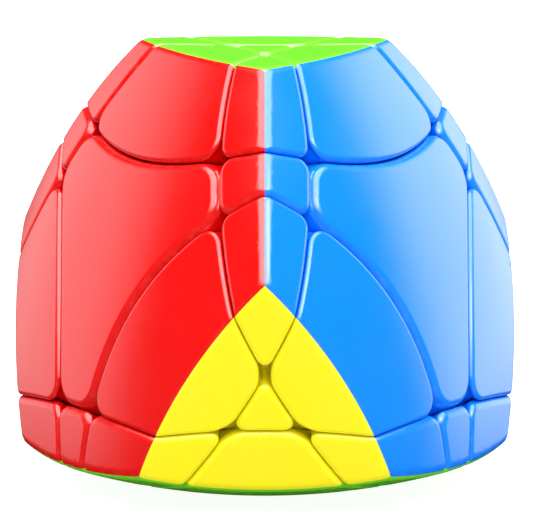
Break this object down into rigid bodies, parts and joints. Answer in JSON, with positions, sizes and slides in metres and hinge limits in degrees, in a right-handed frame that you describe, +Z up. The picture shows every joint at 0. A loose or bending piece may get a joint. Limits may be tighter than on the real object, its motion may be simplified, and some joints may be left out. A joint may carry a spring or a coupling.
{
  "type": "pyramid twisty puzzle",
  "caption": "Tetrahedral twisty puzzle with domed faces and flattened corners; its corner caps turn on spring-loaded hubs around a hidden core.",
  "frame": {"origin": "centre of the core, where all the turning axes meet", "axes": "+Z up through the top corner's flat triangle, -Y towards the front corner, +X to the viewer's right"},
  "size_m": [0.073, 0.0732, 0.0642],
  "materials": {
    "red_abs": "moulded, glossy",
    "blue_abs": "moulded, glossy",
    "yellow_abs": "moulded, glossy",
    "green_abs": "moulded, glossy",
    "core_nylon": "moulded, satin",
    "steel": "zinc plated"
  },
  "bodies": {
    "core_and_faces": {"core": "core_nylon", "corner_screw_top": "steel", "corner_spring_top": "steel", "face_centre_base": "green_abs", "face_screw_base": "steel", "face_spring_base": "steel", "edge_top_front": "blue_abs", "edge_top_rear_left": "yellow_abs", "edge_top_rear_right": "yellow_abs", "corner_screw_front": "steel", "corner_spring_front": "steel", "face_centre_back": "yellow_abs", "face_screw_back": "steel", "face_spring_back": "steel", "edge_front_rear_left": "green_abs", "edge_front_rear_right": "green_abs", "corner_screw_rear_left": "steel", "corner_spring_rear_left": "steel", "face_centre_right": "blue_abs", "face_screw_right": "steel", "face_spring_right": "steel", "edge_rear_left_rear_right": "green_abs", "corner_screw_rear_right": "steel", "corner_spring_rear_right": "steel", "face_centre_left": "red_abs", "face_screw_left": "steel", "face_spring_left": "steel"},
    "top_turning_cap": {"corner_cap_top": "green_abs", "corner_hub_top": "green_abs", "trapezoid_top_back": "yellow_abs", "kite_top_front": "green_abs", "trapezoid_top_right": "blue_abs", "kite_top_rear_left": "green_abs", "trapezoid_top_left": "red_abs", "kite_top_rear_right": "green_abs"},
    "front_turning_cap": {"corner_cap_front": "yellow_abs", "corner_hub_front": "yellow_abs", "trapezoid_front_base": "green_abs", "kite_front_top": "yellow_abs", "trapezoid_front_right": "blue_abs", "kite_front_rear_left": "yellow_abs", "trapezoid_front_left": "red_abs", "kite_front_rear_right": "yellow_abs"},
    "rear_left_turning_cap": {"corner_cap_rear_left": "blue_abs", "corner_hub_rear_left": "blue_abs", "trapezoid_rear_left_base": "green_abs", "kite_rear_left_top": "blue_abs", "trapezoid_rear_left_back": "yellow_abs", "kite_rear_left_front": "blue_abs", "trapezoid_rear_left_left": "red_abs", "kite_rear_left_rear_right": "blue_abs"},
    "rear_right_turning_cap": {"corner_cap_rear_right": "red_abs", "corner_hub_rear_right": "red_abs", "trapezoid_rear_right_base": "green_abs", "kite_rear_right_top": "red_abs", "trapezoid_rear_right_back": "yellow_abs", "kite_rear_right_front": "red_abs", "trapezoid_rear_right_right": "blue_abs", "kite_rear_right_rear_left": "red_abs"}
  },
  "joints": [
    {"name": "top_cap_turn", "type": "hinge", "parent": "core_and_faces", "child": "top_turning_cap", "pos_m": [0, 0, 0], "axis": [0, 0, 1], "continuous": true},
    {"name": "front_cap_turn", "type": "hinge", "parent": "core_and_faces", "child": "front_turning_cap", "pos_m": [0, 0, 0], "axis": [0, -0.9428, -0.3333], "continuous": true},
    {"name": "rear_left_cap_turn", "type": "hinge", "parent": "core_and_faces", "child": "rear_left_turning_cap", "pos_m": [0, 0, 0], "axis": [-0.8165, 0.4714, -0.3333], "continuous": true},
    {"name": "rear_right_cap_turn", "type": "hinge", "parent": "core_and_faces", "child": "rear_right_turning_cap", "pos_m": [0, 0, 0], "axis": [0.8165, 0.4714, -0.3333], "continuous": true}
  ]
}
